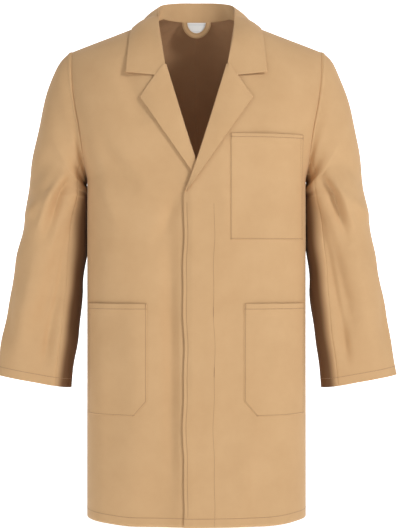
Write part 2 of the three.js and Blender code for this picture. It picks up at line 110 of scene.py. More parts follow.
def climbOf(level):
    # 0 up to the armpit and 1 at the shoulder ridge
    return np.clip((level - body["armpit"]) / (body["ridge"] - body["armpit"]), 0, 1)


def halfWidth(level):
    # the chest's half width plus a quarter sine of the climb from armpit to shoulder
    return body["halfWidth"] + body["spread"] * np.sin(math.pi / 2 * climbOf(level))


def halfDepth(level):
    # constant to the chest, then a superellipse quarter that closes on the shoulder ridge
    climb = np.clip((level - body["chest"]) / (body["ridge"] - body["chest"]), 0, 1)
    return body["halfDepth"] * (1 - climb ** body["shoulderRound"]) ** (1 / body["shoulderRound"])


def heightAt(x, level):
    # the level, sloped with the shoulder by the distance from the middle
    slope = (body["neckPoint"] - body["shoulderPoint"]) / (body["shoulderHalf"] - body["neckHalf"])
    away = np.hypot(x, body["ridgeSoft"]) - math.hypot(body["neckHalf"], body["ridgeSoft"])
    ridge = body["neckPoint"] - slope * away
    return level + (ridge - body["ridge"]) * smooth(level, body["armpit"], body["ridge"])


def levelAt(x, z):
    # the level whose height is z, by repeated correction
    level = np.array(z, float) * np.ones_like(np.array(x, float))
    for step in range(40):
        level = level + 0.6 * (z - heightAt(x, level))
    return np.minimum(level, body["ridge"])


def bodyPoint(x, level, side):
    # superellipse section: depth is half depth times the root of one minus the width share's power
    share = np.clip(np.abs(x) / halfWidth(level), 0, 1)
    depth = halfDepth(level) * (1 - share ** body["roundness"]) ** (1 / body["roundness"])
    height = heightAt(x, level)
    return np.stack(np.broadcast_arrays(x, side * depth, height + hemRise(x, height) + hemZ), axis=-1)


def armholeX(level):
    # the armhole's front edge rises as a quarter circle from the side seam
    turn = np.minimum(1, climbOf(level) / body["armRise"])
    share = body["armShare"] * np.sqrt(1 - (1 - turn) ** 2)
    return halfWidth(level) * (1 - share ** body["roundness"]) ** (1 / body["roundness"])


def frontEdgeX(level):
    # straight to the break, then the roll line to the gorge and on to the neck point
    gorge = float(levelAt(front["gorgeX"], front["gorgeZ"]))
    return np.interp(level, [0, front["break"], gorge, body["ridge"]],
                     [-front["overlap"], -front["overlap"], front["gorgeX"], body["neckHalf"]])


def spreadX(level, fromX, toX, share):
    # even turns round the section low down, even widths near the ridge where the section is flat
    def turnOf(x):
        # the angle round the section's middle, 0 at the back's or front's middle
        point = bodyPoint(x, level, 1)
        return np.arctan2(point[..., 0], np.maximum(point[..., 1], 1e-6))

    turn = mix(turnOf(fromX), turnOf(toX), share)
    wide, deep = halfWidth(level), np.maximum(halfDepth(level), 1e-3)
    power = body["roundness"]
    radius = ((np.abs(np.sin(turn)) / wide) ** power + (np.abs(np.cos(turn)) / deep) ** power) ** (-1 / power)
    return mix(radius * np.sin(turn), mix(fromX, toX, share), smooth(level, *body["flatEase"]))


def liftAt(x, level):
    # the left front stands off over the studs, and comes back to the body beyond the fly
    reach = front["flyWidth"] - front["overlap"] + 6
    crossing = front["break"] + 1.5 * front["fallOff"]
    inFly = 1 - smooth(x, reach, reach + front["fallOff"])
    held = inFly * (1 - smooth(level, crossing, crossing + front["fallOff"]))
    return mix(front["edgeLift"], front["lift"], smooth(x, -front["overlap"], -6)) * held


def crease(a, b, start, end, width, depth):
    # a ridge or furrow along a line: a bell across it and a half sine along it
    start, end = np.array(start, float), np.array(end, float)
    line = end - start
    long = np.hypot(*line)
    along = ((a - start[0]) * line[0] + (b - start[1]) * line[1]) / long ** 2
    across = ((a - start[0]) * line[1] - (b - start[1]) * line[0]) / long
    return depth * np.exp(-((across / width) ** 2)) * np.sin(math.pi * np.clip(along, 0, 1)) ** 0.8


frontCreases = [  # start, end, width, depth; x to the wearer's left and height above the hem
    ((-54, 655), (-46, 5), 15, -6.0), ((-30, 640), (-28, -20), 9, 1.8), ((-112, 560), (-96, 30), 34, 2.2),
    ((58, 560), (74, 20), 22, -1.6), ((-150, 905), (-96, 770), 18, -3.6),
    ((-200, 745), (-110, 640), 16, -4.2), ((-206, 700), (-140, 560), 14, 3.0),
    ((140, 905), (96, 790), 24, -1.6), ((206, 720), (170, 560), 14, -2.6), ((-26, 655), (-84, 520), 13, -3.4),
    ((48, 660), (60, 560), 10, 1.4), ((-150, 470), (-168, 60), 30, -2.2), ((150, 200), (138, 10), 34, -2.4),
    ((-20, 300), (-34, 10), 26, 2.0), ((104, 210), (92, 10), 24, 1.6), ((190, 560), (196, 60), 24, -1.6),
]
backCreases = [
    ((-150, 800), (-60, 640), 30, -2.5), ((150, 800), (70, 620), 30, -2.5), ((-120, 560), (-100, 0), 40, 3.0),
    ((110, 560), (120, 0), 44, 3.0), ((-40, 500), (-30, 0), 30, -2.0), ((52, 480), (40, 0), 28, -2.0),
    ((-190, 700), (-150, 520), 22, -2.0), ((190, 700), (150, 540), 22, -2.0),
]


def relief(x, z, side):
    # drape of the body: soft upright waves that grow to the hem, and the creases, fading at the side seams
    skirt = smooth(-z, -520, 0)
    phase = 0.7 if side < 0 else 2.1
    waves = 1.5 * skirt * np.cos(x / 27 + phase + 0.0016 * z) + 1.1 * skirt * np.cos(x / 15.5 + 1.3)
    soft = 0.35 * np.sin(x / 19 + z / 47) + 0.3 * np.sin(z / 33 - x / 41 + 1.2)
    total = waves + soft
    for start, end, width, depth in (frontCreases if side < 0 else backCreases):
        total = total + crease(x, z, start, end, width, depth)
    calm = 1 - smooth(np.abs(x), 170, 212)
    closure = 1 - 0.75 * np.exp(-((x - 5) / 24) ** 2) if side < 0 else 1
    return 1.5 * total * calm * closure * (1 - 0.6 * smooth(z, 860, 960))


def unit(vectors):
    # each vector over its own length
    return vectors / np.maximum(np.linalg.norm(vectors, axis=-1, keepdims=True), 1e-9)


def gridNormal(points, outward):
    # cross product of the two grid directions
    across = np.gradient(points, axis=1)
    up = np.gradient(points, axis=0)
    return outward * unit(np.cross(across, up))


def runs(points):
    # distance walked along each row and up each column, in millimetres
    across = np.zeros(points.shape[:2])
    up = np.zeros(points.shape[:2])
    across[:, 1:] = np.cumsum(np.linalg.norm(np.diff(points, axis=1), axis=2), axis=1)
    up[1:] = np.cumsum(np.linalg.norm(np.diff(points, axis=0), axis=2), axis=0)
    return across, up


def sheetOf(points, outward=1, low=0.0, high=cloth):
    # a panel to be made: its middle grid, its normals and how far its two faces lie from the grid
    across, up = runs(points)
    far = np.full(points.shape[:2], farFromSeam)
    return {"points": points, "normal": gridNormal(points, outward), "outward": outward,
            "low": low, "high": high, "across": across, "up": up,
            "seamAcross": far.copy(), "seamUp": far.copy(), "shade": np.zeros_like(far)}


def partOf(panel, rows, columns, low, high):
    # some rows and columns of a panel, at another depth in the cloth
    part = {key: value[rows, columns] if isinstance(value, np.ndarray) and value.ndim > 1 else value
            for key, value in panel.items()}
    part.update(low=low, high=high)
    return part


def newMesh(name, vertices, faces, hand=1):
    # millimetres to metres, mirrored to the wearer's right when hand is -1, with the faces turned back
    vertices = np.array(vertices, float).reshape(-1, 3) * [hand * mm, mm, mm]
    faces = np.array(faces, int)
    if hand < 0:
        faces = faces[:, ::-1]
    mesh = bpy.data.meshes.new(name)
    mesh.from_pydata(vertices.tolist(), [], faces.tolist())
    mesh.update()
    mesh.polygons.foreach_set("use_smooth", np.ones(len(mesh.polygons), bool))
    piece = bpy.data.objects.new(name, mesh)
    bpy.context.scene.collection.objects.link(piece)
    return piece


def rimOf(rows, columns):
    # indices round the edge of a grid, each corner once
    grid = np.arange(rows * columns).reshape(rows, columns)
    return np.concatenate([grid[0, :-1], grid[:-1, -1], grid[-1, :0:-1], grid[:0:-1, 0]])


def makeSheet(name, panel, hand, outer, inner):
    # two faces of the grid joined by a rounded rim; UV is the cloth's own across and up in metres
    points, normal = panel["points"], panel["normal"]
    rows, columns = points.shape[:2]
    top = (points + normal * np.asarray(panel["high"])[..., None]).reshape(-1, 3)
    under = (points + normal * np.asarray(panel["low"])[..., None]).reshape(-1, 3)
    count = rows * columns
    grid = np.arange(count).reshape(rows, columns)
    quads = np.stack([grid[:-1, :-1], grid[:-1, 1:], grid[1:, 1:], grid[1:, :-1]], axis=-1).reshape(-1, 4)
    if panel["outward"] < 0:
        quads = quads[:, ::-1]
    ring = rimOf(rows, columns)
    middle = top.reshape(rows, columns, 3)
    away = np.zeros((rows, columns, 3))
    away[:, 0] += unit(middle[:, 0] - middle[:, 1])
    away[:, -1] += unit(middle[:, -1] - middle[:, -2])
    away[0] += unit(middle[0] - middle[1])
    away[-1] += unit(middle[-1] - middle[-2])
    thick = np.linalg.norm(top - under, axis=1)[ring][:, None]
    rim = (top[ring] + under[ring]) / 2 + unit(away.reshape(-1, 3)[ring]) * rimBulge * thick
    here = np.arange(len(ring))
    following = np.roll(here, -1)
    rimHere, rimNext = 2 * count + here, 2 * count + following
    upperRim = np.stack([ring[following], ring[here], rimHere, rimNext], axis=-1)
    lowerRim = np.stack([rimNext, rimHere, count + ring[here], count + ring[following]], axis=-1)
    if panel["outward"] < 0:
        upperRim, lowerRim = upperRim[:, ::-1], lowerRim[:, ::-1]
    faces = np.concatenate([quads, (quads + count)[:, ::-1], upperRim, lowerRim])
    piece = newMesh(name, np.concatenate([top, under, rim]), faces, hand)
    mesh = piece.data
    flat = np.stack([panel["across"], panel["up"]], axis=-1).reshape(-1, 2) * mm
    places = np.concatenate([flat, flat, flat[ring]])
    loops = np.empty(len(mesh.loops), int)
    mesh.loops.foreach_get("vertex_index", loops)
    mesh.uv_layers.new(name="cloth").data.foreach_set("uv", places[loops].astype(np.float32).ravel())
    for key in ("seamAcross", "seamUp", "shade"):
        values = panel[key].reshape(-1)
        attribute = mesh.attributes.new(key, "FLOAT", "POINT")
        attribute.data.foreach_set("value", np.concatenate([values, values, values[ring]]).astype(np.float32))
    mesh.materials.append(outer)
    mesh.materials.append(inner)
    slots = np.zeros(len(faces), int)
    slots[len(quads):2 * len(quads)] = 1
    mesh.polygons.foreach_set("material_index", slots)
    wide, long = float(panel["across"].max() * mm), float(panel["up"].max() * mm)
    step = points[1:, 1:] - points[:-1, :-1]
    side = points[1:, :-1] - points[:-1, 1:]
    area = float(np.linalg.norm(np.cross(step, side), axis=2).sum() / 2 * mm * mm)
    piece["clothWide"], piece["clothLong"], piece["clothArea"] = wide, long, area
    return piece


def declare(piece):
    # the cut's bounding rectangle is the walked width and length, and the cut fills a share of it
    wide, long, area = piece["clothWide"], piece["clothLong"], piece["clothArea"]
    sheetRows.append((piece.name, wide, long, area))
    return piece


def hang(piece):
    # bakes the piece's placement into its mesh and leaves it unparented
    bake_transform(piece)
    return piece


print("stage: materials")


def linear(hexColour):
    # sRGB hex to linear light
    parts = [int(hexColour[i:i + 2], 16) / 255 for i in (1, 3, 5)]
    return tuple(p / 12.92 if p <= 0.04045 else ((p + 0.055) / 1.055) ** 2.4 for p in parts) + (1.0,)


def feed(tree, node, feeds):
    # each socket takes a plain value, another socket, or a node's first output
    for key, source in feeds.items():
        if isinstance(source, bpy.types.Node):
            source = source.outputs[0]
        if isinstance(source, bpy.types.NodeSocket):
            tree.links.new(source, node.inputs[key])
        else:
            node.inputs[key].default_value = source
    return node


def addNode(tree, kind, feeds=None, **settings):
    # one node, its settings, and what feeds its sockets
    node = tree.nodes.new("ShaderNode" + kind)
    for key, value in settings.items():
        setattr(node, key, value)
    return feed(tree, node, feeds or {})


def newMaterial(name):
    # a named material, its node tree and its surface shader
    material = bpy.data.materials.new(name)
    material.use_nodes = True
    return material, material.node_tree, material.node_tree.nodes["Principled BSDF"]


def colourBetween(ramp, dark, light):
    # the two ends of a ramp, each an sRGB hex
    for stop, colour in zip(ramp.color_ramp.elements, (dark, light)):
        stop.color = linear(colour)


twillSettings = {
    "wale": 1.1,  # millimetres from rib to rib; the real 0.5 would be too fine to show
    "across": 0.83, "up": 0.56, "yarnRatio": 2.3, "grooveWidth": 1.5, "cloud": 60.0, "slubScale": 900.0,
    # depthShade is the colour of the painted shade on the under sleeve
    "rampLow": 0.25, "rampHigh": 0.75, "depthShade": "#53301A",
}


def twill(name, light, dark, sheen, seamShade):
    # polycotton twill, piece-dyed and pressed: a fine diagonal wale, matt with a faint lit edge
    material, tree, shader = newMaterial(name)
    place = addNode(tree, "TexCoord").outputs["Object"]
    split = addNode(tree, "SeparateXYZ", {0: addNode(tree, "UVMap", uv_map="cloth")})
    across, up = split.outputs[0], split.outputs[1]
    perMetre = 2 * math.pi / (twillSettings["wale"] * mm)
    climb = addNode(tree, "Math", {0: up, 1: twillSettings["up"]}, operation="MULTIPLY")
    diagonal = addNode(tree, "Math", {0: across, 1: twillSettings["across"], 2: climb},
                       operation="MULTIPLY_ADD")
    ribs = addNode(tree, "Math", {0: diagonal, 1: perMetre}, operation="MULTIPLY")
    wale = addNode(tree, "Math", {0: ribs}, operation="SINE")
    yarns = addNode(tree, "Math", {0: up, 1: twillSettings["yarnRatio"] * perMetre}, operation="MULTIPLY")
    yarn = addNode(tree, "Math", {0: yarns}, operation="SINE")
    fine = addNode(tree, "Math", {0: yarn, 1: 0.3}, operation="MULTIPLY")
    weave = addNode(tree, "Math", {0: wale, 1: 0.7, 2: fine}, operation="MULTIPLY_ADD")
    cloud = addNode(tree, "TexNoise", {"Vector": place, "Scale": 1 / (twillSettings["cloud"] * mm),
                                       "Detail": 3.0, "Roughness": 0.6})
    slub = addNode(tree, "TexNoise", {"Vector": place, "Scale": twillSettings["slubScale"],
                                      "Detail": 2.0, "Roughness": 0.5})
    slubTone = addNode(tree, "Math", {0: slub, 1: 0.25}, operation="MULTIPLY")
    dyeTone = addNode(tree, "Math", {0: cloud, 1: 0.75, 2: slubTone}, operation="MULTIPLY_ADD")
    tone = addNode(tree, "Math", {0: weave, 1: 0.05, 2: dyeTone}, operation="MULTIPLY_ADD")
    dye = addNode(tree, "ValToRGB", {0: tone})
    dye.color_ramp.elements[0].position = twillSettings["rampLow"]
    dye.color_ramp.elements[1].position = twillSettings["rampHigh"]
    colourBetween(dye, dark, light)
    # painted shade along seams: the groove mask darkens the colour towards seamShade, and also sinks the bump
    grooves = []
    for key in ("seamAcross", "seamUp"):
        signed = addNode(tree, "Attribute", attribute_name=key).outputs["Fac"]
        far = addNode(tree, "Math", {0: signed}, operation="ABSOLUTE")
        near = addNode(tree, "Math", {0: far, 1: -1 / twillSettings["grooveWidth"], 2: 1.0},
                       operation="MULTIPLY_ADD", use_clamp=True)
        grooves.append(addNode(tree, "Math", {0: near, 1: near}, operation="MULTIPLY"))
    groove = addNode(tree, "Math", {0: grooves[0], 1: grooves[1]}, operation="MAXIMUM")
    seamShadeShare = addNode(tree, "Math", {0: groove, 1: 0.3}, operation="MULTIPLY")
    # painted shade: the 'shade' attribute darkens the colour towards depthShade, on the under sleeve where it
    # faces the body
    depth = addNode(tree, "Attribute", attribute_name="shade").outputs["Fac"]
    colour = dye.outputs[0]
    for share, shadow in ((seamShadeShare, seamShade), (depth, twillSettings["depthShade"])):
        mixed = addNode(tree, "Mix", data_type="RGBA")
        colour = feed(tree, mixed, {0: share, 6: colour, 7: linear(shadow)}).outputs[2]
    rough = addNode(tree, "Math", {0: slub, 1: 0.14, 2: 0.78}, operation="MULTIPLY_ADD")
    wales = addNode(tree, "Math", {0: weave, 1: 0.12}, operation="MULTIPLY")
    height = addNode(tree, "Math", {0: wales, 1: groove}, operation="SUBTRACT")
    bump = addNode(tree, "Bump", {"Height": height, "Strength": 0.55, "Distance": 0.0004})
    feed(tree, shader, {"Base Color": colour, "Roughness": rough, "Normal": bump, "Sheen Weight": sheen,
                        "Sheen Roughness": 0.4, "Specular IOR Level": 0.25})
    return material


shellTwill = twill("TwillPolycottonPressed", "#CFA97D", "#C7A074", 0.10, "#7A5230")
# the cloth's wrong side: a little duller than the face, and darkened further as painted shade for the dim
# inside of the coat; its seam colour is darker still for the same reason
reverseTwillWithPaintedShade = twill("TwillPolycottonReverse", "#BE9670", "#B08762", 0.04, "#4A2C1A")
facingTwill = twill("TwillPolycottonFacing", "#CBA377", "#BA9064", 0.08, "#6B4526")


def threadMaterial():
    # spun polyester sewing thread: a little darker and glossier than the cloth, with a fine ply
    material, tree, shader = newMaterial("ThreadPolyesterSpun")
    place = addNode(tree, "TexCoord").outputs["Object"]
    ply = addNode(tree, "TexWave", {"Vector": place, "Scale": 1400.0, "Distortion": 1.5}).outputs["Fac"]
    dye = addNode(tree, "ValToRGB", {0: ply})
    colourBetween(dye, "#8A6440", "#B08858")
    bump = addNode(tree, "Bump", {"Height": ply, "Strength": 0.4, "Distance": 0.0001})
    feed(tree, shader, {"Base Color": dye, "Normal": bump, "Roughness": 0.55, "Sheen Weight": 0.2})
    return material


def satinMaterial():
    # woven label satin: white warp floats in fine ribs, with a pale grey woven border
    material, tree, shader = newMaterial("LabelSatinWoven")
    split = addNode(tree, "SeparateXYZ", {0: addNode(tree, "UVMap", uv_map="cloth")})
    floats = addNode(tree, "Math", {0: split, 1: 2 * math.pi / (0.8 * mm)}, operation="MULTIPLY")
    rib = addNode(tree, "Math", {0: floats}, operation="SINE")
    border = addNode(tree, "Attribute", attribute_name="seamUp").outputs["Fac"]
    far = addNode(tree, "Math", {0: border}, operation="ABSOLUTE")
    lines = addNode(tree, "Math", {0: 1.0, 1: far}, operation="SUBTRACT", use_clamp=True)
    share = addNode(tree, "Math", {0: lines, 1: 0.8}, operation="MULTIPLY")
    dye = addNode(tree, "Mix", data_type="RGBA")
    feed(tree, dye, {0: share, 6: linear("#F1F1EE"), 7: linear("#A9ABB2")})
    bump = addNode(tree, "Bump", {"Height": rib, "Strength": 0.3, "Distance": 0.0001})
    feed(tree, shader, {"Base Color": dye.outputs[2], "Normal": bump, "Roughness": 0.42, "Sheen Weight": 0.3})
    return material


def studMaterial():
    # nickel-plated brass, stamped and barrel-polished: bright, with a soft cloudy tarnish
    material, tree, shader = newMaterial("NickelPlatedStamped")
    place = addNode(tree, "TexCoord").outputs["Object"]
    tarnish = addNode(tree, "TexNoise", {"Vector": place, "Scale": 350.0, "Detail": 4.0})
    plate = addNode(tree, "ValToRGB", {0: tarnish})
    colourBetween(plate, "#A8A49A", "#CFCCC4")
    rough = addNode(tree, "Math", {0: tarnish, 1: 0.2, 2: 0.18}, operation="MULTIPLY_ADD")
    feed(tree, shader, {"Base Color": plate, "Roughness": rough, "Metallic": 1.0})
    return material


def fleeceMaterial():
    # fused interlining: off-white pressed fibres
    material, tree, shader = newMaterial("InterliningFusedNonwoven")
    place = addNode(tree, "TexCoord").outputs["Object"]
    fibre = addNode(tree, "TexNoise", {"Vector": place, "Scale": 1500.0, "Detail": 6.0})
    fleece = addNode(tree, "ValToRGB", {0: fibre})
    colourBetween(fleece, "#D8D2C6", "#F0ECE4")
    feed(tree, shader, {"Base Color": fleece, "Roughness": 0.9})
    return material


thread = threadMaterial()
satin = satinMaterial()
nickel = studMaterial()
fleece = fleeceMaterial()

print("stage: stitches")


def sampleGrid(grid, rowPlace, columnPlace):
    # bilinear reading of a grid at fractional rows and columns
    row = np.clip(np.floor(rowPlace).astype(int), 0, grid.shape[0] - 2)
    column = np.clip(np.floor(columnPlace).astype(int), 0, grid.shape[1] - 2)
    a = (rowPlace - row)[:, None]
    b = (columnPlace - column)[:, None]
    return ((1 - a) * (1 - b) * grid[row, column] + (1 - a) * b * grid[row, column + 1]
            + a * (1 - b) * grid[row + 1, column] + a * b * grid[row + 1, column + 1])


def seamLine(panel, edge, distance, fromShare=0.0, toShare=1.0, mark=True, count=240):
    # the line that keeps one distance from an edge of the panel, and its groove for the material;
    # lanes run from that edge over the panel, and each is read where its walked length is the distance
    sideways = edge in ("start", "end")
    walked = panel["across"] if sideways else panel["up"].T
    lanes, steps = walked.shape
    if edge in ("start", "bottom"):
        signed, order = walked - distance, np.arange(steps)
    else:
        signed, order = walked[:, -1:] - walked - distance, np.arange(steps)[::-1]
    lanePlace = np.linspace(fromShare, toShare, count) * (lanes - 1)
    crossings = np.array([np.interp(0, np.sort(lane), order) for lane in signed])
    stepPlace = np.interp(lanePlace, np.arange(lanes), crossings)
    # a marked groove also paints shade along the seam in the twill material
    if mark:
        key = "seamAcross" if sideways else "seamUp"
        grooved = panel[key] if sideways else panel[key].T
        nearer = np.abs(signed) < np.abs(grooved)
        nearer[:int(fromShare * (lanes - 1))] = False
        nearer[int(math.ceil(toShare * (lanes - 1))) + 1:] = False
        grooved = np.where(nearer, signed, grooved)
        panel[key] = grooved if sideways else grooved.T
    high = np.asarray(panel["high"])
    surface = panel["points"] + panel["normal"] * (high[..., None] if high.ndim else high)
    places = (lanePlace, stepPlace) if sideways else (stepPlace, lanePlace)
    return sampleGrid(surface, *places), unit(sampleGrid(panel["normal"], *places))


stitch = {"pitch": 3.0, "share": 0.78, "width": 0.42, "height": 0.26, "sides": 6, "look": 0.4}


def readAlong(values, walked, places):
    # each column of values at the given walked lengths
    return np.stack([np.interp(places, walked, column) for column in values.T], axis=-1)


def stitchMesh(name, lines, hand, pitch=stitch["pitch"], width=stitch["width"]):
    # a flattened six-sided lozenge carried to every stitch along each line
    sides = stitch["sides"]
    angles = np.arange(sides) * 2 * math.pi / sides
    profile = [(-0.5, 0.35), (-0.25, 1.0), (0.25, 1.0), (0.5, 0.35)]
    template = np.array([(along, size * width * math.cos(a), size * stitch["height"] * math.sin(a))
                         for along, size in profile for a in angles])
    quads = [(ring + k, ring + (k + 1) % sides, ring + sides + (k + 1) % sides, ring + sides + k)
             for ring in range(0, sides * (len(profile) - 1), sides) for k in range(sides)]
    ends = [(0, 5, 4, 3), (0, 3, 2, 1), (18, 19, 20, 21), (18, 21, 22, 23)]  # each hexagon as two quads
    quads = np.array(quads + ends)
    allPoints, allFaces, offset = [], [], 0
    for points, normals in lines:
        walked = np.concatenate([[0], np.cumsum(np.linalg.norm(np.diff(points, axis=0), axis=1))])
        total = int(walked[-1] / pitch)
        if total < 1:
            continue
        centres = (np.arange(total) + 0.5) * walked[-1] / total
        ahead = readAlong(points, walked, centres + stitch["look"])
        tangent = unit(ahead - readAlong(points, walked, centres - stitch["look"]))
        sideways = unit(np.cross(unit(readAlong(normals, walked, centres)), tangent))
        normal = np.cross(tangent, sideways)
        long = pitch * stitch["share"]
        made = (readAlong(points, walked, centres)[:, None] + template[None, :, 0:1] * long * tangent[:, None]
                + template[None, :, 1:2] * sideways[:, None] + template[None, :, 2:3] * normal[:, None])
        starts = offset + np.arange(total) * len(template)
        allPoints.append(made.reshape(-1, 3))
        allFaces.append((quads[None] + starts[:, None, None]).reshape(-1, 4))
        offset += total * len(template)
    piece = newMesh(name, np.concatenate(allPoints), np.concatenate(allFaces), hand)
    piece.data.materials.append(thread)
    return piece


frontStitches = {1: [], -1: []}
bodyStitches = {1: [], -1: []}
sleeveStitches = {1: [], -1: []}
tacks = {1: [], -1: []}
hemFold = 17.0

print("stage: front, side and back panels")


grids = {"front": (190, 90), "side": (120, 22), "back": (190, 100), "evenRows": 0.55}  # rows, columns


def levelsTo(top, count):
    # even up to the chest, then closer as the shoulder rounds over
    even = grids["evenRows"]
    share = np.linspace(0, 1, count)
    low = share / even * body["chest"]
    high = mix(body["chest"], top, np.sin(math.pi / 2 * np.clip((share - even) / (1 - even), 0, 1)))
    return np.where(share < even, low, high)[:, None]


def gridOf(level, columns):
    # the levels down the rows and even shares along the columns
    return np.broadcast_arrays(level, np.linspace(0, 1, columns)[None, :])


def frontLimit(level):
    # the edge of the swinging cloth: on the hinge line low down, on the armhole higher up
    return mix(front["hingeX"], armholeX(level), smooth(level, *front["limitEase"]))


def frontPlace(x, level, hand):
    # body, closure lift on the wearer's left, and the drape, along the outward normal
    point = bodyPoint(x, level, -1)
    out = relief(hand * x, point[..., 2] - hemZ, -1) + (liftAt(x, level) if hand > 0 else 0)
    normal = gridNormal(point, 1)
    return point + normal * np.asarray(out)[..., None]


def frontPanel(hand):
    # from the front edge to the hinge line or armhole; the left edge wanders a little, as cloth hangs
    rows, columns = grids["front"]
    level, share = gridOf(levelsTo(body["ridge"], rows), columns)
    wander = (1.3 * np.sin(level / 41) + 0.8 * np.sin(level / 17)) * (hand > 0)
    wander = wander * (1 - smooth(level, *front["wanderEase"]))
    x = spreadX(level, frontEdgeX(level) + wander, frontLimit(level), share)
    return sheetOf(frontPlace(x, level, hand))


def sidePanel(hand):
    # the strip from the hinge line to the side seam
    rows, columns = grids["side"]
    level, share = gridOf(np.linspace(0, front["sideTop"], rows)[:, None], columns)
    x = spreadX(level, frontLimit(level), armholeX(level), share)
    return sheetOf(frontPlace(x, level, hand))


def backTop(x):
    # the back's upper limit: the neck seam between the neck points, the ridge beyond
    return np.where(np.abs(x) < body["neckHalf"], levelAt(x, body["backNeck"]), body["ridge"])


def backPanel(hand):
    # from the centre back seam, a shallow groove, to the armhole
    rows, columns = grids["back"]
    level, share = gridOf(levelsTo(body["ridge"], rows), columns)
    x = spreadX(level, 0 * level, armholeX(level), share)
    level = level - (body["ridge"] - backTop(x)) * smooth(level, body["armpit"], body["ridge"])
    point = bodyPoint(x, level, 1)
    seam = -0.9 * np.exp(-(x / 2.5) ** 2)
    out = relief(hand * x, point[..., 2] - hemZ, 1) + seam
    return sheetOf(point + gridNormal(point, -1) * out[..., None], outward=-1)


def hemStrip(name, panel, hand, rowsUp):
    # the turned-up hem inside the panel, one layer further in
    part = partOf(panel, slice(rowsUp), slice(None), -cloth - 0.35, -0.3)
    strip = makeSheet(name, part, hand, reverseTwillWithPaintedShade, facingTwill)
    return declare(strip)


for hand in (1, -1):
    side = sideNames[hand]
    panel = frontPanel(hand)
    frontStitches[hand].append(seamLine(panel, "bottom", hemFold))
    seamLine(panel, "top", front["shoulderSeam"])
    if hand > 0:
        top, fly = front["stitchedTo"], front["flyWidth"]
        frontStitches[hand].append(seamLine(panel, "start", front["edgeStitch"], 0.02, top))
        frontStitches[hand].append(seamLine(panel, "start", fly, 0.0, top, mark=False))
        for low in front["tacks"]:
            tacks[hand].append(seamLine(panel, "start", fly, low, low + front["tackLength"], mark=False))
    frontCloth = makeSheet(f"{side}FrontCloth", panel, hand, shellTwill, reverseTwillWithPaintedShade)
    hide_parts(f"{side}_front", f"{side}_front_skirt")
    hang(declare(frontCloth))
    hang(hemStrip(f"{side}FrontHem", panel, hand, 5))
    for name, node, panel, restsOn, hemRows in (
            ("Side", "front_side", sidePanel(hand), f"{side}_back", 4),
            ("Back", "back", backPanel(hand), "hanger_seat", 5)):
        bodyStitches[hand].append(seamLine(panel, "bottom", hemFold))
        piece = makeSheet(f"{side}{name}Cloth", panel, hand, shellTwill, reverseTwillWithPaintedShade)
        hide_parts(f"{side}_{node}")
        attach(declare(piece), "root")
        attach(hemStrip(f"{side}{name}Hem", panel, hand, hemRows), "root")

print("stage: edge strips and press studs")


def stripPanel(hand):
    # the fly's width of the front, one layer further in than the front's cloth
    level = np.linspace(0, front["break"] - 4, 130)[:, None]
    x = np.linspace(-front["overlap"] + 3, front["flyWidth"] - front["overlap"], 18)[None, :]
    high = -1.3 if hand > 0 else -0.5
    return sheetOf(frontPlace(*np.broadcast_arrays(x, level), hand), low=high - cloth, high=high)


for hand, name, nodes in ((1, "flyStrip", ("fly_strip", "fly_strip_skirt")),
                          (-1, "rightFacing", ("right_facing", "right_facing_skirt"))):
    strip = makeSheet(name, stripPanel(hand), hand, facingTwill, facingTwill)
    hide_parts(*nodes)
    hang(declare(strip))

studs = {
    "count": 4, "spacing": 95, "top": 610, "x": 5.0, "sides": 40, "sharpAngle": 40,
    # each profile: radius and distance out from the right front's inner face
    "post": [(0, -2.0), (4.6, -2.0), (5.6, -1.75), (5.9, -1.4), (5.6, -1.25), (0, -1.2)],
    "ball": [(0, 0.9), (5.4, 0.9), (5.9, 1.2), (5.4, 1.5), (3.4, 1.7), (2.0, 1.8), (1.7, 2.3), (2.05, 2.8),
             (1.6, 3.2), (0, 3.3)],
    "socket": [(0, 4.1), (2.6, 4.0), (2.9, 3.2), (3.4, 2.7), (4.4, 2.6), (5.6, 3.0), (5.9, 3.8), (5.6, 4.6),
               (0, 4.8)],
    "cap": [(0, 6.4), (5.4, 6.4), (5.9, 6.6), (5.5, 6.9), (3.4, 7.2), (0, 7.3)],
}


def studPart(name, profile, height):
    # a profile of radius and depth turned about the closure's own axis, with both poles closed
    profile = np.array(profile, float)
    angle = np.linspace(0, 2 * math.pi, studs["sides"], endpoint=False)
    x, z = studs["x"], height + hemZ
    baseY = float(bodyPoint(x, height, -1)[..., 1]) - float(relief(x, height, -1))
    radius, out = profile[1:-1, :1], profile[1:-1, 1:]
    across, up = x + radius * np.cos(angle), z + radius * np.sin(angle)
    points = np.stack(np.broadcast_arrays(across, baseY - out, up), axis=-1).reshape(-1, 3)
    poles = [(x, baseY - profile[end, 1], z) for end in (0, -1)]
    rows = len(radius)
    grid = np.arange(rows * studs["sides"]).reshape(rows, studs["sides"])
    ahead = np.roll(grid, -1, axis=1)
    quads = np.stack([grid[:-1], ahead[:-1], ahead[1:], grid[1:]], axis=-1).reshape(-1, 4)[:, ::-1]
    first, last = rows * studs["sides"], rows * studs["sides"] + 1
    faces = quads.tolist()
    faces += [(first, a, b) for a, b in zip(grid[0], ahead[0])]
    faces += [(last, b, a) for a, b in zip(grid[-1], ahead[-1])]
    mesh = bpy.data.meshes.new(name)
    mesh.from_pydata((np.concatenate([points, poles]) * mm).tolist(), [], faces)
    mesh.update()
    mesh.polygons.foreach_set("use_smooth", np.ones(len(mesh.polygons), bool))
    mesh.set_sharp_from_angle(angle=math.radians(studs["sharpAngle"]))
    mesh.materials.append(nickel)
    piece = bpy.data.objects.new(name, mesh)
    bpy.context.scene.collection.objects.link(piece)
    return piece


for number in range(studs["count"]):
    height = studs["top"] - number * studs["spacing"]
    for kind, hand in (("post", -1), ("ball", -1), ("socket", 1), ("cap", 1)):
        piece = studPart(f"{kind}{number + 1}", studs[kind], height)
        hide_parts(f"stud_{kind}_{number + 1}")
        hang(piece)

print("stage: pockets")

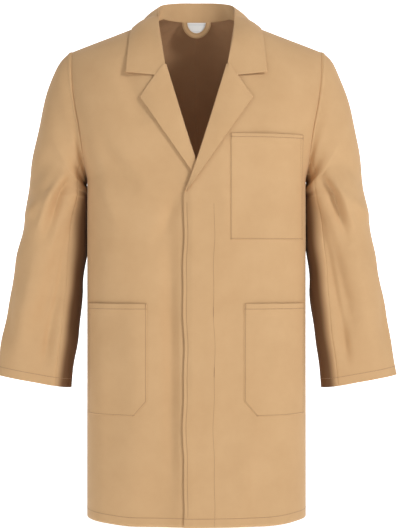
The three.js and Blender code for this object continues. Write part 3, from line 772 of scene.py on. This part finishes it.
pocketBag = {"stand": 0.25, "fill": 1.5, "mouth": 1.3, "mouthDeep": 30, "sag": 0.5, "hemThick": 0.45,
             "hemDeep": 20, "secondRow": 6}
hipPocket = {"z": (211, 426), "cut": (25, 29), "top": 10, "edge": 2.4}
pockets = {
    "chest": {"node": "chest_pocket", "hand": 1, "x": (64.5, 206), "z": (549, 751), "cut": (0, 1), "top": 6.5,
              "edge": 2.0},
    "leftHip": {"node": "left_hip_pocket", "hand": 1, "x": (91, 209), **hipPocket},
    "rightHip": {"node": "right_hip_pocket", "hand": -1, "x": (94, 209), **hipPocket},
}


def pocketPanel(size):
    # rows from the bottom to the mouth; the lower inner corner is cut off; the bag stands a little proud
    low, high = size["z"]
    wide, tall = size["cut"]
    start, end = size["x"]
    rows = np.linspace(0, 1, 100)[:, None]
    z, share = np.broadcast_arrays(mix(low, high, rows), np.linspace(0, 1, 72)[None, :])
    inner = start + wide * np.clip(1 - (z - low) / tall, 0, 1)
    x = spreadX(levelAt(mix(inner, end, share), z), inner, np.full_like(inner, end), share)
    place = frontPlace(x, levelAt(x, z), size["hand"])
    fill = np.sin(math.pi * np.clip(share, 0, 1)) ** 0.7 * np.clip(rows * 4, 0, 1) ** 0.7
    mouth = np.exp(-((high - z) / pocketBag["mouthDeep"]) ** 2) * np.sin(math.pi * share) ** 0.6
    sag = pocketBag["sag"] * np.sin(x / 17 + z / 29) * fill
    lift = cloth + pocketBag["stand"] + pocketBag["fill"] * fill + pocketBag["mouth"] * mouth + sag
    hemLine = high - pocketBag["hemDeep"]
    hem = pocketBag["hemThick"] * smooth(z, hemLine - 2, hemLine)
    return sheetOf(place, low=lift, high=lift + cloth + hem)


for name, size in pockets.items():
    hand = size["hand"]
    panel = pocketPanel(size)
    for edge in ("start", "bottom", "end"):
        frontStitches[hand].append(seamLine(panel, edge, size["edge"]))
    frontStitches[hand].append(seamLine(panel, "end", size["edge"] + pocketBag["secondRow"], mark=False))
    frontStitches[hand].append(seamLine(panel, "top", size["top"]))
    for edge in ("start", "end"):
        tacks[hand].append(seamLine(panel, edge, size["edge"] + 0.4, 0.955, 0.999, mark=False))
    piece = makeSheet(f"{name}PocketCloth", panel, hand, shellTwill, reverseTwillWithPaintedShade)
    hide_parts(size["node"])
    hang(declare(piece))

print("stage: lapels")

lapel = {"tip": (108, 822), "inside": 14, "low": 640, "stand": 3.2, "edgeStand": 5.6, "under": 1.2,
         "insideColumns": 5, "rollColumns": 7, "outsideColumns": 46}


def lapelPanel(hand):
    # one sheet: a strip inside the front, a half circle round the roll line, then the lapel outside
    z = np.concatenate([np.linspace(lapel["low"], lapel["tip"][1], 80),
                        np.linspace(lapel["tip"][1], front["gorgeZ"] - 0.5, 34)[1:]])[:, None]
    outerX = np.interp(z, [lapel["low"], lapel["tip"][1], front["gorgeZ"]],
                       [-front["overlap"] + 5, lapel["tip"][0], front["gorgeX"] + 2.5])
    roll = frontEdgeX(levelAt(0.5 * front["gorgeX"] + 0 * z, z))
    under, stand = lapel["under"], lapel["stand"]
    radius = (stand + under) / 2
    width = np.maximum(outerX - roll, radius + 0.6)
    rows = 0 * z
    insideShare = np.linspace(1, 0, lapel["insideColumns"])[None, :]
    turn = np.linspace(-math.pi / 2, math.pi / 2, lapel["rollColumns"] + 2)[None, 1:-1]
    share = np.linspace(0, 1, lapel["outsideColumns"])[None, :]
    droop = stand + (lapel["edgeStand"] - stand) * share ** 1.5
    droop = droop + 1.6 * np.sin(math.pi * share) * smooth(z, 660, 780)
    x = np.concatenate([roll + radius + np.minimum(lapel["inside"], 0.6 * width) * insideShare,
                        roll + radius * (1 - np.cos(turn)), roll + radius + (width - radius) * share], axis=1)
    out = np.concatenate([rows - under + 0 * insideShare, rows + radius - under + radius * np.sin(turn),
                          droop * smooth(z, lapel["low"] - 30, lapel["low"] + 25)], axis=1)
    z = np.broadcast_to(z, x.shape)
    level = levelAt(x, z)
    base = bodyPoint(x, level, -1)
    drape = relief(hand * x, z, -1) + (liftAt(x, level) if hand > 0 else 0)
    step = 0.5
    across = bodyPoint(x + step, levelAt(x + step, z), -1) - base
    up = bodyPoint(x, levelAt(x, z + step), -1) - base
    normal = unit(np.cross(across, up))
    return sheetOf(base + normal * (drape + out)[..., None], low=-cloth / 2, high=cloth / 2)


for hand in (1, -1):
    side = sideNames[hand]
    panel = lapelPanel(hand)
    facing = makeSheet(f"{side}LapelFacing", panel, hand, shellTwill, facingTwill)
    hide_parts(f"{side}_lapel_facing")
    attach(declare(facing), "root")
    beyondRoll = slice(lapel["insideColumns"] + lapel["rollColumns"] + 1, -1)
    part = partOf(panel, slice(2, -2), beyondRoll, -1.15, -0.5)
    turnback = makeSheet(f"{side}LapelTurnback", part, hand, facingTwill, facingTwill)
    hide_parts(f"{side}_lapel_turnback")
    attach(declare(turnback), "root")

print("stage: collar")

collar = {"rise": 49, "rollX": 73, "fall": 40, "shoulderX": 124, "notch": (77, 864), "point": (136, 871),
          "seat": 4.6, "bulge": 6.5, "lastPart": 0.72, "gorgeGap": 0.8, "columns": 200, "standRows": 26,
          "fallRows": 54, "seamRows": 14, "seamColumns": 12}


def catmull(points, share):
    # a smooth curve through the points after the first, which only steers the start
    points = np.array(points, float)
    last = 2 * points[-1] - points[-2]
    points = np.concatenate([points, [last]])
    place = 1 + share * (len(points) - 3)
    index = np.clip(np.floor(place).astype(int), 1, len(points) - 3)
    t = (place - index)[..., None]
    a, b, c, d = (points[index + k] for k in (-1, 0, 1, 2))
    square, cube = 2 * a - 5 * b + 4 * c - d, 3 * b - a - 3 * c + d
    return 0.5 * (2 * b + (c - a) * t + square * t ** 2 + cube * t ** 3)


def collarCurves(share):
    # share is 0 at the centre back and 1 at the gorge: neck seam, fold and outer edge
    neckPoint, rise = body["neckPoint"], collar["rise"]
    fallen, shoulderX = collar["fall"], collar["shoulderX"]
    toWorld = np.array([0, 0, hemZ])
    gorgeLevel = float(levelAt(front["gorgeX"], front["gorgeZ"]))
    near = bodyPoint(70.0, float(levelAt(70.0, front["gorgeZ"] + 50)), -1) - toWorld
    gorge = bodyPoint(float(front["gorgeX"]), gorgeLevel, -1) - toWorld
    top = neckPoint + rise
    fold = catmull([(-44, 46, top - 4), (0, 64, top), (44, 46, top - 4), (collar["rollX"], 8, top - 17),
                    (collar["rollX"] + 2, -38, neckPoint + 2), near + [0, -5, 4], gorge + [0, -4.5, 2]],
                   share) + toWorld
    edgeLevel = float(levelAt(*collar["point"]))
    flat = catmull([(-60, 18 - fallen, 0), (0, -fallen, 0), (60, 18 - fallen, 0), (108, -3, 0),
                    (shoulderX, 2, 0), (shoulderX + 7, 42, 0),
                    (collar["point"][0], body["ridge"] - edgeLevel, 0)], share)
    level = body["ridge"] - np.abs(flat[..., 1])
    sideOf = np.where(flat[..., 1] < 0, 1, -1)
    edge = bodyPoint(flat[..., 0], level, sideOf)
    inside = np.stack([0.7 * flat[..., 0], 0 * level, edge[..., 2] - 60], axis=-1)
    edge = edge + unit(edge - inside) * collar["seat"]
    backShare = np.clip(share / 0.4, 0, 1)
    seamX = body["neckHalf"] * np.sin(math.pi / 2 * backShare)
    backSeam = bodyPoint(seamX, backTop(seamX), 1)
    forward = np.clip((share - 0.4) / 0.6, 0, 1)
    frontLevel = mix(body["ridge"], gorgeLevel, np.sin(math.pi / 2 * forward ** 1.3))
    frontSeam = bodyPoint(frontEdgeX(frontLevel), frontLevel, -1)
    seam = np.where((share <= 0.4)[..., None], backSeam, frontSeam) + [0, 0, 0.5]
    for step in range(30):
        seam[1:-1] = 0.25 * seam[:-2] + 0.5 * seam[1:-1] + 0.25 * seam[2:]
    return seam, fold, edge


def collarPanel():
    # seam to fold to outer edge in one sheet, the fold eased by averaging along the section
    turn = np.linspace(-1, 1, collar["columns"])
    share = np.abs(turn)
    seam, fold, edge = (curve[None] for curve in collarCurves(share))
    standRows, fallRows = collar["standRows"], collar["fallRows"]
    up = np.linspace(0, 1, standRows)[:, None, None]
    down = np.linspace(0, 1, fallRows)[1:, None, None]
    stand = mix(seam, fold, up)
    fall = mix(fold, edge, down)
    laidDown = smooth(share, collar["lastPart"], 1)[None, :, None]
    rise = collar["bulge"] * np.sin(math.pi * down) * (1 - laidDown)
    lean = np.where(share < 0.35, 0.4, -0.5)
    fall = fall + rise * np.stack([0.5 + 0 * lean, lean, 0.6 + 0 * lean], axis=-1)[None]
    notch, point = collar["notch"], collar["point"]
    endShare = down[:, 0, 0]
    endX = np.interp(endShare, [0, 0.24, 1], [front["gorgeX"] + 2, notch[0], point[0]])
    endZ = np.interp(endShare, [0, 0.24, 1], [front["gorgeZ"] + 1, notch[1], point[1]]) + collar["gorgeGap"]
    laid = bodyPoint(endX, levelAt(endX, endZ), -1)
    laid[:, 1] -= collar["seat"] + 0.8 * np.sin(math.pi * endShare) + 2.0 * endShare ** 3
    shift = laid[:, None] - fall[:, -1:, :]
    fall = fall + shift * laidDown
    points = np.concatenate([stand, fall])
    for step in range(5):
        inner = points.copy()
        inner[1:-1] = 0.25 * points[:-2] + 0.5 * points[1:-1] + 0.25 * points[2:]
        ease = np.exp(-((np.arange(len(points)) - standRows) / 7.0) ** 2)[:, None, None]
        points = mix(points, inner, ease)
    points[..., 0] *= np.sign(turn)[None]
    rows = np.arange(len(points))
    weight = np.clip(rows / standRows, 0, 1)[:, None]
    onFall = np.sin(math.pi * np.clip((rows - standRows) / fallRows, 0, 1))[:, None]
    soft = 0.5 * np.sin(turn * 9)[None] * onFall
    panel = sheetOf(points, low=-0.75, high=0.0)
    panel["points"] = points + panel["normal"] * (soft * weight)[..., None]
    # groove marks at the collar's ends along the gorge, shown in the twill as painted shade and a bump
    across, last = panel["across"], collar["seamColumns"]
    gorge = slice(standRows, standRows + collar["seamRows"])
    panel["seamAcross"][gorge, :last] = across[gorge, :last]
    panel["seamAcross"][gorge, -last:] = (across[:, -1:] - across)[gorge, -last:]
    return panel


collarSheet = collarPanel()
standRows = collar["standRows"]
upperCollar = makeSheet("upperCollar", collarSheet, 1, shellTwill, facingTwill)
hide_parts("upper_collar", "collar_stand")
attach(declare(upperCollar), "root")
for name, node, rows, low, high, skin, slot in (
        ("underCollar", "under_collar", slice(standRows // 2, -1), -1.95, -1.25, facingTwill, "facing_cloth"),
        ("collarInterlining", "collar_interlining", slice(standRows + 2, -3), -1.15, -0.85, fleece,
         "interlining")):
    piece = makeSheet(name, partOf(collarSheet, rows, slice(2, -2), low, high), 1, skin, skin)
    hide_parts(node)
    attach(declare(piece), "root")

print("stage: sleeves")

sleeve = {
    "bicep": {"x": 280, "y": 0, "z": 640, "across": 55, "deep": 76, "lean": 8},
    "cuff": {"x": 330, "y": -15, "z": 271, "across": 69, "deep": 32, "lean": 10},
    "head": 0.42, "frontSeam": 134, "backSeam": 250, "long": 740, "rows": 210,
}
sleeveCreases = [  # turn in degrees and distance from the shoulder in millimetres; start, end, width, depth
    ((128, 190), (84, 430), 11, -6.5), ((112, 200), (70, 400), 9, 4.5), ((140, 300), (112, 720), 9, -5.0),
    ((104, 300), (20, 380), 16, 3.2), ((96, 180), (30, 300), 18, -3.0), ((128, 330), (96, 640), 13, -4.2),
    ((74, 420), (64, 700), 16, 2.6), ((40, 360), (-20, 470), 20, -1.1), ((-40, 250), (10, 420), 22, -0.8),
    ((20, 520), (40, 700), 16, -2.2), ((-60, 440), (-30, 680), 20, 2.4), ((150, 240), (210, 420), 20, -3.0),
    ((240, 260), (190, 520), 18, -2.6), ((110, 560), (118, 700), 10, -2.4),
]


def armholeRing(turn):
    # round the armhole: 0 at the shoulder, a quarter turn in front, half a turn at the armpit
    level = mix(body["armpit"], body["ridge"], (1 + np.cos(turn)) / 2)
    sideOf = np.where(np.sin(turn) >= 0, -1, 1)
    return bodyPoint(armholeX(level), level, sideOf) + [0.4, 0, 0]


def sleeveRing(place, turn):
    # an ellipse across the arm, leaning outwards
    lean = np.radians(place["lean"])
    wide = place["across"] * np.cos(turn)
    return np.stack([place["x"] + wide * np.cos(lean), place["y"] - place["deep"] * np.sin(turn),
                     place["z"] + hemZ + wide * np.sin(lean)], axis=-1)


def sleevePanel(hand, fromTurn, toTurn, columns):
    # a Hermite arc from the armhole to the bicep, then a straight taper to the cuff
    along = np.linspace(1, 0, sleeve["rows"])[:, None]
    turn = np.radians(np.linspace(fromTurn, toTurn, columns))[None, :]
    along, turn = np.broadcast_arrays(along, turn)
    bicep, cuff = sleeve["bicep"], sleeve["cuff"]
    share = np.clip((along - sleeve["head"]) / (1 - sleeve["head"]), 0, 1)
    lower = sleeveRing({key: mix(bicep[key], cuff[key], share) for key in bicep}, turn)
    t = np.clip(along / sleeve["head"], 0, 1)[..., None]
    start, end = armholeRing(turn), sleeveRing(bicep, turn)
    reach = np.linalg.norm(end - start, axis=-1, keepdims=True)
    top = (1 + np.cos(turn)) / 2
    leave = np.stack([mix(0.5, 0.93, top), 0 * top, mix(-0.87, -0.37, top)], axis=-1)
    arm = unit(np.array([cuff[key] - bicep[key] for key in "xyz"], float))
    head = (start * (2 * t ** 3 - 3 * t ** 2 + 1) + leave * 0.6 * reach * (t ** 3 - 2 * t ** 2 + t)
            + end * (3 * t ** 2 - 2 * t ** 3) + arm * 0.9 * reach * (t ** 3 - t ** 2))
    points = np.where((along > sleeve["head"])[..., None], lower, head)
    degrees = np.degrees(turn)
    far = along * sleeve["long"]
    out = 0.5 * np.sin(far / 31 + degrees / 23 + hand) + 0.4 * np.sin(far / 17 - degrees / 37)
    for first, second, width, depth in sleeveCreases:
        for wrap in (-360, 0):
            out = out + crease(degrees + wrap, far, first, second, width, depth)
    out = 1.9 * out * smooth(far, 6, 90) * (1 - 0.5 * smooth(far, 640, 735))
    inward = 1 - smooth(np.abs((degrees % 360) - 180), 20, 85)
    out = out + inward * (17 * smooth(far, 110, 250) - 4 * smooth(far, 560, 740))
    ease = 1.6 * np.exp(-((far - 9) / 7) ** 2) - 0.6 * np.exp(-(far / 3) ** 2)
    seam = -0.8 * np.exp(-((degrees - sleeve["frontSeam"]) / 1.8) ** 2)
    panel = sheetOf(points, outward=-1)
    panel = sheetOf(points + panel["normal"] * (out + ease + seam)[..., None], outward=-1)
    # painted shade: the under sleeve, from the front seam round to the back of the arm, is darkened where it
    # faces the body
    paintedUnderArmShade = smooth(degrees, sleeve["frontSeam"] - 2, sleeve["frontSeam"] + 16)
    paintedUnderArmShade = paintedUnderArmShade * (1 - smooth(degrees, 205, 240))
    panel["shade"] = 0.85 * paintedUnderArmShade * smooth(far, 150, 260)
    return panel


def sleeveBend(piece):
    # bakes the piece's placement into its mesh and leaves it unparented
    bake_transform(piece)
    return piece


for hand in (1, -1):
    side = sideNames[hand]
    for name, node, fromTurn, toTurn, columns in (
            ("UpperSleeve", "upper_sleeve", sleeve["backSeam"] - 360, sleeve["frontSeam"], 150),
            ("UnderSleeve", "under_sleeve", sleeve["frontSeam"], sleeve["backSeam"], 70)):
        panel = sleevePanel(hand, fromTurn, toTurn, columns)
        sleeveStitches[hand].append(seamLine(panel, "bottom", hemFold))
        piece = makeSheet(f"{side}{name}Cloth", panel, hand, shellTwill, reverseTwillWithPaintedShade)
        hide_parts(f"{side}_{node}")
        sleeveBend(declare(piece))
        sleeveBend(hemStrip(f"{side}{name}Hem", panel, hand, 6))

print("stage: hanger loop and label")

loop = {"half": 29, "drop": 32, "band": 10, "thick": 0.9, "stitchedIn": 1.6}
label = {"half": 19, "drop": 22, "thick": 0.4, "border": 4}


def loopPanel():
    # a D: half an ellipse of band width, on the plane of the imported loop
    turn = np.linspace(math.pi, 2 * math.pi, 80)[None, :]
    share = np.linspace(0, 1, 10)[:, None]
    turn, share = np.broadcast_arrays(turn, share)
    reachX = loop["half"] - loop["band"] * share
    reachZ = loop["drop"] - loop["band"] * share
    y = loopPivot[1] - 0.2 * np.sin(math.pi * share)
    points = np.stack([reachX * np.cos(turn), y, loopPivot[2] + reachZ * np.sin(turn)], axis=-1)
    return sheetOf(points, low=-loop["thick"] / 2, high=loop["thick"] / 2)


def labelPanel():
    # a rectangle with a slight wave across it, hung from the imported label's top; the seam is its border
    x = np.linspace(-label["half"], label["half"], 30)[None, :]
    z = np.linspace(-label["drop"], 0, 20)[:, None]
    x, z = np.broadcast_arrays(x, z)
    labelLow, labelHigh = boxOf("neck_label")
    points = np.stack([x, labelLow[1] + 0.3 * np.sin(x / 7), labelHigh[2] + z], axis=-1)
    panel = sheetOf(points, low=-label["thick"] / 2, high=label["thick"] / 2)
    panel["seamUp"] = np.minimum(np.abs(-z - label["border"]), np.abs(label["drop"] + z - label["border"]))
    return panel


loopSheet = loopPanel()
loopLines = [seamLine(loopSheet, edge, loop["stitchedIn"]) for edge in ("bottom", "top")]
loopPiece = makeSheet("hangerLoop", loopSheet, 1, shellTwill, shellTwill)
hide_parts("hanger_loop")
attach(declare(loopPiece), "loop_body")
labelPiece = makeSheet("neckLabel", labelPanel(), 1, satin, satin)
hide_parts("neck_label")
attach(declare(labelPiece), "root")

print("stage: threads")

barTack = {"pitch": 0.9, "width": 0.9}  # dense short stitches over a pocket's corner or the fly

for hand in (1, -1):
    side = sideNames[hand]
    hang(stitchMesh(f"{side}FrontStitches", frontStitches[hand], hand))
    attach(stitchMesh(f"{side}BodyStitches", bodyStitches[hand], hand), "root")
    sleeveBend(stitchMesh(f"{side}SleeveStitches", sleeveStitches[hand], hand))
    hang(stitchMesh(f"{side}BarTacks", tacks[hand], hand, **barTack))
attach(stitchMesh("loopStitches", loopLines, 1), "loop_body")

print("stage: studio")

studio = {
    "x": 0.007, "distance": 3.0, "eyeHeight": 502, "lens": 102.3, "sensor": 36, "clipEnd": 60,
    "floorDrop": 0.42, "halfWide": 14, "near": -9, "far": 8.5, "high": 9.0,
    "floorGlow": 0.55, "backdropGlow": 0.9, "air": 0.28,
    # place, aim, size in metres and power in watts
    "lights": {
        "key": ((2.2, -2.3, 1.1), (0, 0, -0.4), (0.6, 0.6), 54),
        "fill": ((-2.4, -2.6, 0.4), (0, 0, -0.5), (1.8, 2.2), 18),
        "top": ((0, -0.3, 2.2), (0, 0, -0.4), (2.0, 1.4), 8),
        "hem": ((0, 0, hemZ * mm - 0.3), (0, 0, 0), (0.5, 0.3), 1.5),
    },
}


def addCamera():
    # level view of the front, a little to one side of the middle
    data = bpy.data.cameras.new("camera")
    data.lens = studio["lens"]
    data.sensor_width = studio["sensor"]
    data.clip_end = studio["clipEnd"]
    camera = bpy.data.objects.new("camera", data)
    camera.location = (studio["x"], -studio["distance"], (studio["eyeHeight"] + hemZ) * mm)
    camera.rotation_euler = (math.pi / 2, 0, 0)
    bpy.context.scene.collection.objects.link(camera)
    bpy.context.scene.camera = camera


def addLight(name, place, aim, size, power):
    # a rectangular softbox turned from its place to its aim
    data = bpy.data.lights.new(name, "AREA")
    data.shape = "RECTANGLE"
    data.size, data.size_y = size
    data.energy = power
    light = bpy.data.objects.new(name, data)
    light.location = place
    light.rotation_euler = (Vector(aim) - Vector(place)).to_track_quat("-Z", "Y").to_euler()
    bpy.context.scene.collection.objects.link(light)


def addPaper(name, rows, glow):
    # a wide pale strip through the given places, each y and z in metres
    rows = np.array(rows, float)
    x = np.array([-studio["halfWide"], studio["halfWide"]])
    points = np.stack(np.broadcast_arrays(x[None, :], rows[:, :1], rows[:, 1:]), axis=-1) / mm
    grid = np.arange(len(rows) * 2).reshape(-1, 2)
    quads = np.stack([grid[:-1, 0], grid[:-1, 1], grid[1:, 1], grid[1:, 0]], axis=-1)
    paper = newMesh(name, points, quads)
    material, tree, shader = newMaterial("PaperMattPale")
    feed(tree, shader, {"Base Color": linear("#F7F7F6"), "Roughness": 0.95, "Emission Color": (1, 1, 1, 1),
                        "Emission Strength": glow})
    paper.data.materials.append(material)


floorZ = hemZ * mm - studio["floorDrop"]
farCorner = (studio["far"], floorZ)
addPaper("floor", [(studio["near"], floorZ), farCorner], studio["floorGlow"])
addPaper("backdrop", [farCorner, (studio["far"], studio["high"])], studio["backdropGlow"])
addCamera()
for name, settings in studio["lights"].items():
    addLight(name, *settings)
world = bpy.data.worlds.new("studioAir")
bpy.context.scene.world = world
world.use_nodes = True
feed(world.node_tree, world.node_tree.nodes["Background"], {"Color": (1, 1, 1, 1), "Strength": studio["air"]})
bpy.context.scene.view_settings.view_transform = "Standard"

for name, wide, long, area in sheetRows:
    print(f"sheet {name}: {wide:.3f} x {long:.3f} m, {area:.4f} m2")
bpy.context.view_layer.update()
print("stage: finished")
